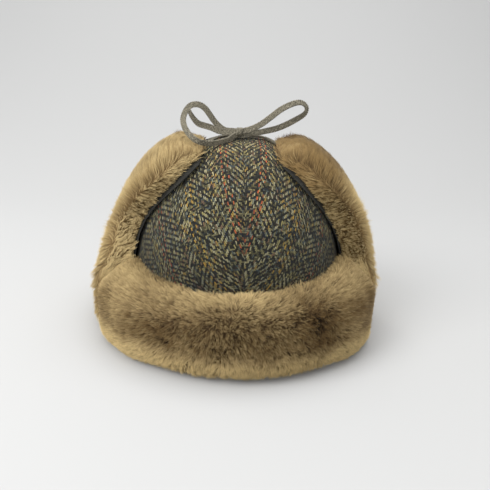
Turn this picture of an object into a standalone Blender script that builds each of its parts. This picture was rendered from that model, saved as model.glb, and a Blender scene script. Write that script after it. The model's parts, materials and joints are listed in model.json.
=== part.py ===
"""Tweed aviator hat, its fur-faced visor turned up and its ear flaps tied over the crown.

Metres, +Z up. The hat stands on its fur rim at z = 0, with its front towards -Y
and the wearer's left towards +X. Turn is the angle round the crown from the front
seam, and arc is the length up the crown's surface from the level of the rim.
"""

import bisect
import functools
import math
import random

import bmesh
import bpy
from mathutils import Vector

# Crown
CROWN_WIDTH = 0.195
CROWN_LENGTH = 0.210
CROWN_TOP = 0.1690
CROWN_WALL = 0.0025
CROWN_LIFT = 0.006
CROWN_ROUNDNESS = 2.4
CROWN_COLUMNS = 20
CROWN_ROWS = 12
MERIDIAN_STEPS = 240
NORMAL_STEPS = 500

# Clearances
SEAM_GAP = 0.0003
CLOTH_GAP = 0.0009
PILE_GAP = 0.0007
CORD_GAP = 0.0004

# Cloth of the visor and the flaps
FLAP_CLOTH = 0.0018
FLAP_BOW = 0.0028
STAND_OFF_RISE = 1.6
CLOTH_LIFT = 0.005
FUR_OVERHANG = 0.007

# Fur
VISOR_PILE = 0.026
SIDE_PILE = 0.031
BACK_PILE = 0.0255
FOOT_ROUND = 0.018
EDGE_ROUND = 0.022
TIP_ROUND = 0.034
END_ROUND = 0.014
END_THICKNESS = 0.40
END_COLUMNS = (0.00, 0.20, 0.55, 1.00)
SEAM_END = 0.60
VISOR_END_PILE = 0.60
LEFT_FOOT_FILL = 0.62
RIGHT_FOOT_FILL = 0.48
BACK_FOOT_FILL = 0.12
LOCK_RELIEF = 0.0018
LOCK_OUT = (0.65, 1.25)
LOCK_DOWN = (0.60, 1.40)
LOCK_SIDE = -0.25
LOCK_VALLEY = -0.40
LOCK_SEED = 11

# Visor
VISOR_HEIGHT = 0.069
VISOR_HALF_TURN = math.radians(67.5)
VISOR_END_RISE = 0.008
VISOR_COLUMNS = 36
VISOR_ROWS = 5

# Ear flaps, each with its half of the neck band
VISOR_FLAP_GAP = 0.0026
FLAP_TIP_TURN = math.radians(46)
LEFT_FLAP_REACH = 0.188
RIGHT_FLAP_REACH = 0.190
NECK_HEIGHT = 0.076
FLAP_COLUMNS = 34
FLAP_ROWS = 9

# Tie cord, a flat braid, drawn as a round cord of the same section area
CORD_WIDTH = 0.0056
CORD_THICKNESS = 0.0022
CORD_STEP = 0.0075
SPAN_PARTS = 12
KNOT_WIDTH = 0.0080
KNOT_DEPTH = 0.0085
KNOT_HEIGHT = 0.0064
KNOT_ACROSS = -0.0018
KNOT_FORWARD = 0.0175
KNOT_SQUARENESS = 0.72

# The flaps' front edge: height as a share of the reach, lean as a share of the way
# from the front turn to the tip turn
FRONT_EDGE = ((0.00, 0.00), (0.46, 0.00), (0.56, 0.22), (0.65, 0.58),
              (0.74, 0.85), (0.84, 0.98), (1.00, 1.00))

# The flaps' upper edge: place round the rim from the front edge to the back seam,
# and height as a share of the way from the neck band to the tip
TOP_EDGE = ((0.00, 0.81), (0.05, 0.88), (0.12, 0.94), (0.20, 0.98), (0.29, 1.00), (0.42, 0.96),
            (0.50, 0.84), (0.57, 0.60), (0.63, 0.32), (0.69, 0.11), (0.76, 0.01), (1.00, 0.00))

# The flaps' pile, pressed flatter where the tie pulls them in: height as a share of
# the reach, then the left and the right flap's thickness as a share of the side pile
PILE_TAPER = ((0.00, 0.93, 1.00), (0.15, 0.93, 1.00), (0.25, 0.91, 0.93), (0.34, 0.87, 0.82),
              (0.47, 0.78, 0.67), (0.60, 0.69, 0.60), (0.75, 0.58, 0.57), (1.00, 0.37, 0.34))

# The pile's section: way in from the edge as a share of the rounding, thickness as
# a share of the pile
FUR_FOOT = ((0.00, 0.46), (0.14, 0.72), (0.42, 0.90), (0.92, 0.99))
FUR_HEAD = ((0.92, 0.97), (0.46, 0.80), (0.16, 0.55), (0.00, 0.30), (0.08, 0.12))
BACK_DROP = 0.22

# Places along the tie, chosen by hand; the cord is drawn smoothly through them.
# The bridge is given across, forward and up from lying on the crown
BRIDGE_ROUTE = ((-0.0385, 0.0206, 0.0017), (-0.0360, 0.0217, 0.0014), (-0.0330, 0.0226, 0.0007),
                (-0.0300, 0.0220, 0.0001), (-0.0274, 0.0188, 0.0000), (-0.0246, 0.0152, 0.0000),
                (-0.0206, 0.0128, 0.0000), (-0.0160, 0.0119, 0.0000), (-0.0103, 0.0134, 0.0000),
                (-0.0036, 0.0163, 0.0000), (0.0032, 0.0163, 0.0000), (0.0080, 0.0130, 0.0000),
                (0.0125, 0.0102, 0.0000), (0.0180, 0.0094, 0.0000), (0.0227, 0.0120, 0.0000),
                (0.0262, 0.0160, 0.0000), (0.0300, 0.0190, 0.0002), (0.0340, 0.0200, 0.0008),
                (0.0375, 0.0195, 0.0014), (0.0400, 0.0188, 0.0017))

# The rest is given from the middle of the knot: across, forward and up
LEFT_LOOP_ROUTE = ((0.0047, 0.0012, 0.0012), (0.0105, 0.0012, 0.0030), (0.0179, 0.0010, 0.0066),
                   (0.0254, 0.0008, 0.0121), (0.0330, 0.0004, 0.0180), (0.0403, 0.0000, 0.0219),
                   (0.0470, 0.0000, 0.0242), (0.0521, 0.0000, 0.0236), (0.0553, -0.0006, 0.0199),
                   (0.0539, -0.0014, 0.0151), (0.0479, -0.0022, 0.0107), (0.0398, -0.0032, 0.0059),
                   (0.0315, -0.0040, 0.0023), (0.0222, -0.0040, 0.0004), (0.0142, -0.0032, -0.0008),
                   (0.0090, -0.0024, -0.0011), (0.0050, -0.0022, -0.0012))
RIGHT_LOOP_ROUTE = ((-0.0047, -0.0022, 0.0004), (-0.0117, -0.0042, 0.0007), (-0.0170, -0.0060, 0.0035),
                    (-0.0218, -0.0065, 0.0077), (-0.0262, -0.0062, 0.0130), (-0.0303, -0.0056, 0.0174),
                    (-0.0357, -0.0042, 0.0199), (-0.0419, -0.0016, 0.0192), (-0.0462, 0.0014, 0.0146),
                    (-0.0482, 0.0046, 0.0083), (-0.0469, 0.0090, 0.0027), (-0.0440, 0.0142, -0.0014),
                    (-0.0405, 0.0192, -0.0045), (-0.0363, 0.0214, -0.0070), (-0.0317, 0.0204, -0.0085),
                    (-0.0268, 0.0174, -0.0092), (-0.0211, 0.0138, -0.0088), (-0.0148, 0.0104, -0.0072),
                    (-0.0090, 0.0074, -0.0057), (-0.0050, 0.0044, -0.0036))
RIGHT_END_ROUTE = ((-0.0047, 0.0022, 0.0000), (-0.0106, 0.0034, -0.0002), (-0.0174, 0.0040, 0.0006),
                   (-0.0241, 0.0040, 0.0027), (-0.0304, 0.0040, 0.0038), (-0.0354, 0.0040, 0.0051),
                   (-0.0392, 0.0040, 0.0086), (-0.0417, 0.0040, 0.0122), (-0.0433, 0.0040, 0.0154))
LEFT_END_ROUTE = ((0.0006, -0.0047, -0.0008), (0.0010, -0.0074, -0.0022), (0.0014, -0.0110, -0.0040),
                  (0.0018, -0.0160, -0.0042), (0.0022, -0.0210, -0.0043), (0.0026, -0.0270, -0.0045),
                  (0.0030, -0.0330, -0.0050), (0.0034, -0.0390, -0.0061), (0.0038, -0.0450, -0.0077),
                  (0.0040, -0.0490, -0.0090))


def material(name, colour, roughness):
    """A plain finish of one colour."""
    made = bpy.data.materials.new(name)
    made.use_nodes = True
    shader = made.node_tree.nodes["Principled BSDF"]
    shader.inputs["Base Color"].default_value = (*colour, 1.0)
    shader.inputs["Roughness"].default_value = roughness
    shader.inputs["Metallic"].default_value = 0.0
    made.diffuse_color = (*colour, 1.0)
    return made


def place(name, mesh, finish):
    """Put a mesh into the scene as one named piece."""
    piece = bpy.data.objects.new(name, mesh)
    piece.data.materials.append(finish)
    bpy.context.scene.collection.objects.link(piece)
    return piece


def read_table(rows, at, column=1):
    """Value of one column of a table at a place, blended between its rows."""
    for lower, upper in zip(rows, rows[1:]):
        if at <= upper[0]:
            share = max(0.0, at - lower[0]) / (upper[0] - lower[0])
            return blend(lower[column], upper[column], share)
    return rows[-1][column]


def blend(first, second, share):
    """Value a share of the way between two."""
    return first + (second - first) * share


# The crown's form

def crown_form(turn, rise):
    """Point of the crown's outer form; rise goes from 0 at the rim to 1 at the top."""
    out = max(0.0, math.cos(rise * math.pi / 2)) ** (2 / CROWN_ROUNDNESS)
    up = max(0.0, math.sin(rise * math.pi / 2)) ** (2 / CROWN_ROUNDNESS)
    return Vector((CROWN_WIDTH / 2 * out * math.sin(turn),
                   -CROWN_LENGTH / 2 * out * math.cos(turn),
                   CROWN_TOP * up))


@functools.lru_cache(maxsize=None)
def meridian(turn):
    """Arc lengths up the crown at one turn, and the rise that each belongs to."""
    rises = [step / MERIDIAN_STEPS for step in range(MERIDIAN_STEPS + 1)]
    points = [crown_form(turn, rise) for rise in rises]
    arcs = [0.0]
    for lower, upper in zip(points, points[1:]):
        arcs.append(arcs[-1] + (upper - lower).length)
    return arcs, rises


def rise_at(turn, arc):
    """Rise of the point an arc length up the crown."""
    arcs, rises = meridian(round(turn, 6))
    arc = min(max(arc, 0.0), arcs[-1])
    upper = min(max(bisect.bisect_left(arcs, arc), 1), len(arcs) - 1)
    share = (arc - arcs[upper - 1]) / (arcs[upper] - arcs[upper - 1])
    return blend(rises[upper - 1], rises[upper], share)


def crown_normal(turn, rise):
    """Outward normal of the crown's form, level at the rim."""
    step = 1 / NORMAL_STEPS
    along = crown_form(turn + step, rise) - crown_form(turn - step, rise)
    above = crown_form(turn, min(rise + step, 1.0))
    below = crown_form(turn, max(rise - step, step / 4))
    normal = along.cross(above - below)
    if rise <= 0.0:
        normal.z = 0.0
    return normal.normalized()


def on_crown(turn, arc, away):
    """Point a distance away from the crown's surface, an arc length up it."""
    rise = rise_at(turn, arc)
    return crown_form(turn, rise) + crown_normal(turn, rise) * away


def crown_radius():
    """Mean radius of the crown at its rim."""
    return (CROWN_WIDTH + CROWN_LENGTH) / 4


def crown_height(across, forward):
    """Height of the crown's surface over a place in plan."""
    out = math.hypot(across / (CROWN_WIDTH / 2), forward / (CROWN_LENGTH / 2))
    return CROWN_TOP * (1 - out ** CROWN_ROUNDNESS) ** (1 / CROWN_ROUNDNESS)


# Solids

def solid_between(name, fronts, backs, finish):
    """Closed solid from columns of front points and coarser columns of back points."""
    shape = bmesh.new()
    front = [[shape.verts.new(point) for point in column] for column in fronts]
    back = [[shape.verts.new(point) for point in column] for column in backs]
    ratio = (len(fronts[0]) - 1) // (len(backs[0]) - 1)
    for one, two in zip(front, front[1:]):
        for row in range(len(one) - 1):
            shape.faces.new((one[row], two[row], two[row + 1], one[row + 1]))
    for one, two in zip(back, back[1:]):
        for row in range(len(one) - 1):
            shape.faces.new((one[row + 1], two[row + 1], two[row], one[row]))
    for column in range(len(front) - 1):
        shape.faces.new((back[column][0], back[column + 1][0], front[column + 1][0], front[column][0]))
        shape.faces.new((front[column][-1], front[column + 1][-1], back[column + 1][-1], back[column][-1]))
    for side, flip in ((0, False), (-1, True)):
        for row in range(len(back[side]) - 1):
            rim = [back[side][row + 1], back[side][row]]
            rim += front[side][row * ratio:(row + 1) * ratio + 1]
            shape.faces.new(reversed(rim) if flip else rim)
    bmesh.ops.recalc_face_normals(shape, faces=shape.faces)
    bmesh.ops.triangulate(shape, faces=shape.faces, quad_method="SHORT_EDGE")
    mesh = bpy.data.meshes.new(name)
    shape.to_mesh(mesh)
    shape.free()
    return place(name, mesh, finish)


def make_crown_half(name, side, finish):
    """Half of the crown: a tweed wall from the rim to the top, open below."""
    shape = bmesh.new()
    walls = []
    for inset in (0.0, CROWN_WALL):
        columns = []
        for column in range(CROWN_COLUMNS + 1):
            turn = math.pi * column / CROWN_COLUMNS
            whole = meridian(round(turn, 6))[0][-1]
            arcs = [blend(CROWN_LIFT, whole, row / CROWN_ROWS) for row in range(CROWN_ROWS)]
            points = [crown_shell(turn, rise_at(turn, arc), inset) for arc in arcs]
            for point in points:
                point.x = side * (SEAM_GAP / 2 + point.x)
            columns.append([shape.verts.new(point) for point in points])
        top = shape.verts.new((side * SEAM_GAP / 2, 0.0, CROWN_TOP - inset))
        walls.append((columns, top))
    (outer, outer_top), (inner, inner_top) = walls
    for columns, top in walls:
        for one, two in zip(columns, columns[1:]):
            for row in range(CROWN_ROWS - 1):
                shape.faces.new((one[row], two[row], two[row + 1], one[row + 1]))
            shape.faces.new((one[-1], two[-1], top))
    for column in range(CROWN_COLUMNS):
        shape.faces.new((inner[column][0], inner[column + 1][0], outer[column + 1][0], outer[column][0]))
    for column in (0, CROWN_COLUMNS):
        for row in range(CROWN_ROWS - 1):
            shape.faces.new((inner[column][row], inner[column][row + 1],
                             outer[column][row + 1], outer[column][row]))
        shape.faces.new((inner[column][-1], inner_top, outer_top, outer[column][-1]))
    bmesh.ops.recalc_face_normals(shape, faces=shape.faces)
    mesh = bpy.data.meshes.new(name)
    shape.to_mesh(mesh)
    shape.free()
    return place(name, mesh, finish)


def crown_shell(turn, rise, inset):
    """Point of the crown's outer form, drawn in evenly by an inset."""
    point = crown_form(turn, rise)
    return Vector((point.x * (1 - inset / (CROWN_WIDTH / 2)),
                   point.y * (1 - inset / (CROWN_LENGTH / 2)),
                   point.z * (1 - inset / CROWN_TOP)))


# Fur and the cloth behind it

def end_thickness(distance):
    """Thickness of the pile near the end of a strip, as a share of its full thickness."""
    way_in = max(0.0, 1 - distance / END_ROUND)
    return blend(END_THICKNESS, 1.0, math.sqrt(1 - way_in ** 2))


def fur_section(strip, along):
    """Front points of the pile's section, as pairs of arc and thickness share."""
    height = strip.height(along)
    fill = strip.foot_fill(along)
    foot = [(way * FOOT_ROUND, blend(thick, 1.0, fill)) for way, thick in FUR_FOOT]
    head = [(height - way * strip.edge_round(along), thick) for way, thick in FUR_HEAD]
    low = foot[-1][0]
    high = head[0][0]
    middle = [(blend(low, high, row / strip.rows), 1.0) for row in range(1, strip.rows)]
    return foot + middle + head


def back_section(strip, along):
    """Arcs of the back points, one for every second front point."""
    height = strip.height(along)
    edge_round = strip.edge_round(along)
    arcs = [arc for arc, thick in fur_section(strip, along)][::2]
    arcs[-1] = height - BACK_DROP * edge_round
    arcs[-2] = arcs[-1] - FUR_OVERHANG
    return arcs


def lock_relief(column, row, chance):
    """How far a lock stands out of the pile, and how far its tip hangs down."""
    if row % 2 == 0:
        return LOCK_SIDE * LOCK_RELIEF, 0.0
    raised = (column + row // 2) % 2 == 0
    if not raised:
        return LOCK_VALLEY * LOCK_RELIEF, 0.0
    return LOCK_RELIEF * chance.uniform(*LOCK_OUT), LOCK_RELIEF * chance.uniform(*LOCK_DOWN)


def make_fur(name, strip, finish):
    """Fur over one strip: locks in staggered rows, fused to their backing."""
    chance = random.Random(LOCK_SEED)
    fronts = []
    backs = []
    last = len(strip.places) - 1
    for column, place_along in enumerate(strip.places):
        section = fur_section(strip, place_along)
        front = []
        for row, (arc, thick) in enumerate(section):
            out, down = 0.0, 0.0
            if 0 < column < last and 1 < row < len(section) - 2:
                out, down = lock_relief(column, row, chance)
            turn = strip.turn(place_along, arc)
            away = strip.stand_off(place_along, arc) + FLAP_CLOTH + PILE_GAP
            pile = strip.pile(place_along, arc) * strip.end_share(place_along)
            front.append(on_crown(turn, arc - down, away + pile * thick + out))
        fronts.append(front)
        back = []
        for arc in back_section(strip, place_along):
            away = strip.stand_off(place_along, arc) + FLAP_CLOTH + PILE_GAP
            back.append(on_crown(strip.turn(place_along, arc), arc, away))
        backs.append(back)
    return solid_between(name, fronts, backs, finish)


def make_cloth(name, strip, finish):
    """Cloth behind the fur of one strip, drawn in from the fur's edges."""
    fronts = []
    backs = []
    for place_along in strip.cloth_places:
        arcs = back_section(strip, place_along)[:-1]
        arcs[0] = CLOTH_LIFT
        inner = []
        outer = []
        for arc in arcs:
            turn = strip.turn(place_along, arc)
            away = strip.stand_off(place_along, arc)
            inner.append(on_crown(turn, arc, away))
            outer.append(on_crown(turn, arc, away + FLAP_CLOTH))
        fronts.append(outer)
        backs.append(inner)
    return solid_between(name, fronts, backs, finish)


class Visor:
    """The turned-up peak: a strip round the front of the crown."""

    rows = VISOR_ROWS

    def __init__(self):
        self.round_length = 2 * VISOR_HALF_TURN * crown_radius()
        end = END_ROUND / self.round_length
        ends = [end * share for share in END_COLUMNS]
        inside = VISOR_COLUMNS - 2 * (len(ends) - 1)
        self.places = ends + [blend(end, 1 - end, step / inside) for step in range(1, inside)]
        self.places += [1 - share for share in reversed(ends)]
        trim = FUR_OVERHANG / self.round_length
        inner = [share for share in self.places[::2] if trim < share < 1 - trim]
        self.cloth_places = [trim] + inner + [1 - trim]

    def turn(self, along, arc):
        return blend(-VISOR_HALF_TURN, VISOR_HALF_TURN, along)

    def height(self, along):
        return VISOR_HEIGHT + VISOR_END_RISE * (2 * along - 1) ** 2

    def edge_round(self, along):
        return EDGE_ROUND

    def pile(self, along, arc):
        return blend(VISOR_PILE, SIDE_PILE, VISOR_END_PILE * (2 * along - 1) ** 2)

    def foot_fill(self, along):
        fill = LEFT_FOOT_FILL if along > 0.5 else RIGHT_FOOT_FILL
        return fill * (2 * along - 1) ** 2

    def end_share(self, along):
        return end_thickness(min(along, 1 - along) * self.round_length)

    def stand_off(self, along, arc):
        return CLOTH_GAP


class EarFlap:
    """An ear flap turned up over the crown, with its half of the neck band."""

    rows = FLAP_ROWS

    def __init__(self, side, reach):
        self.side = side
        self.reach = reach
        self.front_turn = VISOR_HALF_TURN + VISOR_FLAP_GAP / crown_radius()
        self.round_length = (math.pi - self.front_turn) * crown_radius() + SIDE_PILE
        end = END_ROUND / self.round_length
        ends = [end * share for share in END_COLUMNS]
        inside = FLAP_COLUMNS - len(ends)
        last = 1 - SEAM_END * end
        self.places = ends + [blend(end, last, step / inside) for step in range(1, inside + 1)] + [1.0]
        trim = FUR_OVERHANG / self.round_length
        self.cloth_places = [trim] + [share for share in self.places[::2] if share > end]

    def turn(self, along, arc):
        lean = read_table(FRONT_EDGE, arc / self.reach)
        front = blend(self.front_turn, FLAP_TIP_TURN, lean)
        seam = math.pi - SEAM_GAP / (CROWN_LENGTH / 2)
        return self.side * blend(front, seam, along)

    def height(self, along):
        return blend(NECK_HEIGHT, self.reach, read_table(TOP_EDGE, along))

    def edge_round(self, along):
        return blend(EDGE_ROUND, TIP_ROUND, read_table(TOP_EDGE, along))

    def pile(self, along, arc):
        column = 1 if self.side > 0 else 2
        return blend(SIDE_PILE, BACK_PILE, along ** 2) * read_table(PILE_TAPER, arc / self.reach, column)

    def foot_fill(self, along):
        fill = LEFT_FOOT_FILL if self.side > 0 else RIGHT_FOOT_FILL
        return blend(fill, BACK_FOOT_FILL, along)

    def end_share(self, along):
        front_share = end_thickness(along * self.round_length)
        seam_share = end_thickness((1 - along) * self.round_length + SEAM_END * END_ROUND)
        return front_share * seam_share

    def stand_off(self, along, arc):
        way_up = min(STAND_OFF_RISE * arc / self.height(along), 1.0)
        return CLOTH_GAP + FLAP_BOW * math.sin(math.pi / 2 * way_up)


# The tie

def smooth_route(points, step):
    """Points a step apart on a smooth curve through a route's own points."""
    knots = [Vector(point) for point in points]
    knots = [2 * knots[0] - knots[1]] + knots + [2 * knots[-1] - knots[-2]]
    fine = []
    for before, start, end, after in zip(knots, knots[1:], knots[2:], knots[3:]):
        for part in range(SPAN_PARTS):
            at = part / SPAN_PARTS
            fine.append(0.5 * (2 * start + (end - before) * at
                               + (2 * before - 5 * start + 4 * end - after) * at ** 2
                               + (3 * start - before - 3 * end + after) * at ** 3))
    fine.append(knots[-2])
    lengths = [0.0]
    for one, two in zip(fine, fine[1:]):
        lengths.append(lengths[-1] + (two - one).length)
    count = max(2, round(lengths[-1] / step))
    route = []
    for index in range(count + 1):
        wanted = lengths[-1] * index / count
        upper = min(max(bisect.bisect_left(lengths, wanted), 1), len(lengths) - 1)
        share = (wanted - lengths[upper - 1]) / (lengths[upper] - lengths[upper - 1])
        route.append(fine[upper - 1].lerp(fine[upper], share))
    return route


def cord_radius():
    """Radius of the round cord whose section has the braid's area."""
    return math.sqrt(CORD_WIDTH * CORD_THICKNESS) / 2


def make_cord(name, points, finish):
    """A length of the tie along a route."""
    curve = bpy.data.curves.new(name, "CURVE")
    curve.dimensions = "3D"
    curve.bevel_depth = cord_radius()
    curve.bevel_resolution = 2
    curve.use_fill_caps = True
    route = smooth_route(points, CORD_STEP)
    line = curve.splines.new("POLY")
    line.points.add(len(route) - 1)
    for point, spot in zip(line.points, route):
        point.co = (*spot, 1.0)
    return place(name, curve, finish)


def bridge_points():
    """The bridge's route over the crown, from one flap's tip to the other's."""
    lying = CORD_GAP + cord_radius()
    points = []
    for across, forward, up in BRIDGE_ROUTE:
        points.append((across, -forward, crown_height(across, forward) + lying + up))
    return points


def knot_middle():
    """Middle of the knot, which sits on the bridge."""
    under = crown_height(KNOT_ACROSS, KNOT_FORWARD) + 2 * CORD_GAP + 2 * cord_radius()
    return Vector((KNOT_ACROSS, -KNOT_FORWARD, under + KNOT_HEIGHT / 2))


def from_knot(route):
    """A route given across, forward and up from the knot, as points of the hat."""
    middle = knot_middle()
    return [middle + Vector((across, -forward, up)) for across, forward, up in route]


def make_knot(name, finish):
    """The knot: a rounded block with the waist that its wrap pulls in."""
    shape = bmesh.new()
    bmesh.ops.create_uvsphere(shape, u_segments=12, v_segments=8, radius=0.5)
    for vert in shape.verts:
        vert.co = Vector([math.copysign((2 * abs(part)) ** KNOT_SQUARENESS / 2, part) for part in vert.co])
        vert.co.x *= KNOT_WIDTH
        vert.co.y *= KNOT_DEPTH
        vert.co.z *= KNOT_HEIGHT
        vert.co += knot_middle()
    mesh = bpy.data.meshes.new(name)
    shape.to_mesh(mesh)
    shape.free()
    return place(name, mesh, finish)


def main():
    for item in list(bpy.data.objects):
        bpy.data.objects.remove(item)

    tweed = material("tweed", (0.10, 0.10, 0.085), 0.95)
    tweed_back = material("flap_cloth", (0.07, 0.07, 0.06), 0.95)
    visor_pile = material("visor_fur", (0.40, 0.29, 0.16), 0.90)
    flap_pile = material("flap_fur", (0.46, 0.35, 0.20), 0.90)
    braid = material("tie_cord", (0.23, 0.21, 0.17), 0.85)

    make_crown_half("crown_left", 1, tweed)
    make_crown_half("crown_right", -1, tweed)

    visor = Visor()
    make_cloth("visor_cloth", visor, tweed_back)
    make_fur("visor_fur", visor, visor_pile)
    for word, side, reach in (("left", 1, LEFT_FLAP_REACH), ("right", -1, RIGHT_FLAP_REACH)):
        flap = EarFlap(side, reach)
        make_cloth(f"ear_flap_{word}_cloth", flap, tweed_back)
        make_fur(f"ear_flap_{word}_fur", flap, flap_pile)

    make_knot("bow_knot", braid)
    make_cord("tie_bridge", bridge_points(), braid)
    make_cord("bow_loop_left", from_knot(LEFT_LOOP_ROUTE), braid)
    make_cord("bow_loop_right", from_knot(RIGHT_LOOP_ROUTE), braid)
    make_cord("tie_end_right", from_knot(RIGHT_END_ROUTE), braid)
    make_cord("tie_end_left", from_knot(LEFT_END_ROUTE), braid)


main()
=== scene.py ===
"""Looks of the tweed aviator hat: its cloth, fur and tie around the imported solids.

Metres, in the solids' own frame: +Z up, the front towards -Y and the wearer's left towards +X.
"""

import json
import math
from functools import partial

import bpy
import numpy as np
from mathutils import Matrix, Vector
from mathutils.kdtree import KDTree

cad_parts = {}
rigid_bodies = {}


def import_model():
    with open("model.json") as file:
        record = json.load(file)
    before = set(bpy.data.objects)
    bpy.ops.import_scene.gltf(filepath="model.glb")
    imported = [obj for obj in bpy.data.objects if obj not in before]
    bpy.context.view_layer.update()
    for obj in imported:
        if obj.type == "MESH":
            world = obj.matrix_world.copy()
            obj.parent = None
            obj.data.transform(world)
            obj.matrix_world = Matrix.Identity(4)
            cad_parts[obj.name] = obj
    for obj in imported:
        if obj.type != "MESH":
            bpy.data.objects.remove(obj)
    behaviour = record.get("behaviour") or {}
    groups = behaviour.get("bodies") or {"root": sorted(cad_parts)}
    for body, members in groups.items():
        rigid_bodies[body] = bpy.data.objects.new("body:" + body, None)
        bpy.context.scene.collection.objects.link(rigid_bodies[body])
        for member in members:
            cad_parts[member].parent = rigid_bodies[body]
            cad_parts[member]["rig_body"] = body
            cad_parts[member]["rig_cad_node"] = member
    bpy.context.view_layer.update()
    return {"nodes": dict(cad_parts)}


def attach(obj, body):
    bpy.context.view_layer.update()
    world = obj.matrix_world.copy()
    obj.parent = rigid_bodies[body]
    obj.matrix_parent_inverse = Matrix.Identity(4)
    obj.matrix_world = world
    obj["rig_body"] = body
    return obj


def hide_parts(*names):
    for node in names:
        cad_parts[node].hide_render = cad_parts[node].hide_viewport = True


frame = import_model()
BODY = "root"

# Camera, fitted to the photograph
FRAME_PIXELS = 490
FOCAL_PIXELS = 510
PRINCIPAL_LEFT_PIXELS = 7.9
SENSOR_WIDTH = 36.0
CAMERA_BACK = 0.458
CAMERA_HEIGHT = 0.222
CAMERA_TURN = math.radians(3.5)
CAMERA_PITCH = math.radians(18.7)
CAMERA_ROLL = math.radians(2.1)

# Crown, the same form as the solids
HALF_WIDTH = 0.0975
HALF_LENGTH = 0.105
CROWN_TOP = 0.169
CROWN_WALL = 0.0025
CROWN_LIFT = 0.006
CROWN_ROUNDNESS = 2.4

# Tweed: herringbone columns, and stripes by the column's edge that they stand at, counted
# from the seam, with the bright and the dull colour of their yarns
COLUMN_WIDTH = 0.0166
COLUMN_YARNS = 15
WARP_PITCH = COLUMN_WIDTH / COLUMN_YARNS
WEFT_PITCH = 0.00142
TWILL_FLOAT = 2
STRAY_CROSSINGS = 0.06
STRIPES = ((1, (0.8, 0.17, 0.065), (0.44, 0.13, 0.06)),
           (3, (0.86, 0.5, 0.07), (0.46, 0.29, 0.07)),
           (5, (0.64, 0.125, 0.065), (0.34, 0.1, 0.06)))
STRIPE_YARNS_OFF = 2.0
CLOTH_UNIT = 0.1
CLOTH_STEPS = 24
CROWN_SEGMENTS = 128
CROWN_RINGS = 96
SEAM_TAKE_IN = 0.121
SEAM_TAKE_IN_START = math.radians(86.5)
SEAM_TAKE_IN_POWER = 2.6
SEAM_SINK = 0.0006
SEAM_SINK_WIDTH = 0.002

# Tie cord, a flat braid
CORD_WIDTH = 0.0056
CORD_THICKNESS = 0.0022
CORD_GAP = 0.0004
BRAID_STEP = 0.0006
INTO_KNOT = 0.45
BRAID_STRANDS = 8
BRAID_PITCH = 0.0112
STRAND_RADIUS = 0.00052
STRAND_SIDES = 5
CORE_WIDE = 0.92
CORE_HIGH = 0.75
WAVE_ROUNDING = 0.35
BRAID_RUN = 0.13
SPAN_PARTS = 12
CORD_FACES = (-0.1, -0.95, 0.3)
KNOT_DEPTH = 0.0085
KNOT_HEIGHT = 0.0064
KNOT_ACROSS = -0.0018
KNOT_FORWARD = 0.0175
KNOT_TURN = 230
KNOT_STEPS = 70
KNOT_WRAP = ((-0.0009, 0.0011), (-0.0012, -0.0004), (-0.001, -0.0002))
KNOT_SHIFT = (-0.0012, 0.0, -0.0013)
SHIFT_FADE = (0.012, 0.04)

# Places along the tie, as in the solids: across, forward and up, in tenths of a
# millimetre. The bridge's are up from lying on the crown, the others from the knot
TENTHS = 10000
BRIDGE_ROUTE = (
    (-385, 206, 17), (-360, 217, 14), (-330, 226, 7), (-300, 220, 1), (-274, 188, 0), (-246, 152, 0),
    (-206, 128, 0), (-160, 119, 0), (-103, 134, 0), (-36, 163, 0), (32, 163, 0), (80, 130, 0),
    (125, 102, 0), (180, 94, 0), (227, 120, 0), (262, 160, 0), (300, 190, 2), (340, 200, 8),
    (375, 195, 14), (400, 188, 17))
LEFT_LOOP_ROUTE = (
    (47, 12, 12), (105, 12, 30), (179, 10, 66), (254, 8, 121), (330, 4, 180), (403, 0, 219),
    (470, 0, 242), (521, 0, 236), (553, -6, 199), (539, -14, 151), (479, -22, 107), (398, -32, 59),
    (315, -40, 23), (222, -40, 4), (142, -32, -8), (90, -24, -11), (50, -22, -12))
RIGHT_LOOP_ROUTE = (
    (-47, -22, 4), (-117, -42, 7), (-170, -60, 35), (-218, -65, 77), (-262, -62, 130),
    (-303, -56, 174), (-357, -42, 199), (-419, -16, 192), (-462, 14, 146), (-482, 46, 83),
    (-469, 90, 27), (-440, 142, -14), (-405, 192, -45), (-363, 214, -70), (-317, 204, -85),
    (-268, 174, -92), (-211, 138, -88), (-148, 104, -72), (-90, 74, -57), (-50, 44, -36))
RIGHT_END_ROUTE = (
    (-47, 22, 0), (-106, 34, -2), (-174, 40, 6), (-241, 40, 27), (-304, 40, 38), (-354, 40, 51),
    (-392, 40, 86), (-417, 40, 122), (-433, 40, 154))
LEFT_END_ROUTE = (
    (6, -47, -8), (10, -74, -22), (14, -110, -40), (18, -160, -42), (22, -210, -43), (26, -270, -45),
    (30, -330, -50), (34, -390, -61), (38, -450, -77), (40, -490, -90))

# Each flap's edge that faces the tweed, by height: how far round the crown it lies, and
# how far the cloth and the fur reach on from there, on the left and on the right. The
# cloth reaching on beyond the fur shows as a near-black band, partly the flaps' dark
# cloth and partly painted shade of the gap under the fur's edge.
EDGE_HEIGHTS = (0.07, 0.09, 0.105, 0.118, 0.128, 0.138, 0.15, 0.162)
EDGE_TURNS = {1: (1.33, 1.34, 1.25, 1.17, 1.05, 1.0, 1.03, 1.06),
              -1: (1.3, 1.365, 1.24, 1.11, 1.03, 0.97, 0.95, 0.98)}
EDGE_BLEND = (0.55, 0.05)
REACH_HEIGHTS = (0.045, 0.065)
LEAST_OUT = 0.02
CLOTH_REACH = {1: (0.004, 0.01, 0.012, 0.015, 0.018, 0.019, 0.0165, 0.0135),
               -1: (0.004, 0.003, 0.004, 0.008, 0.012, 0.0145, 0.0145, 0.013)}
FUR_REACH = {1: (-0.004, 0.002, 0.0025, 0.005, 0.008, 0.0095, 0.0085, 0.009),
             -1: (-0.004, -0.0075, -0.0075, -0.0035, 0.0, 0.0035, 0.004, 0.006)}
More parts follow.
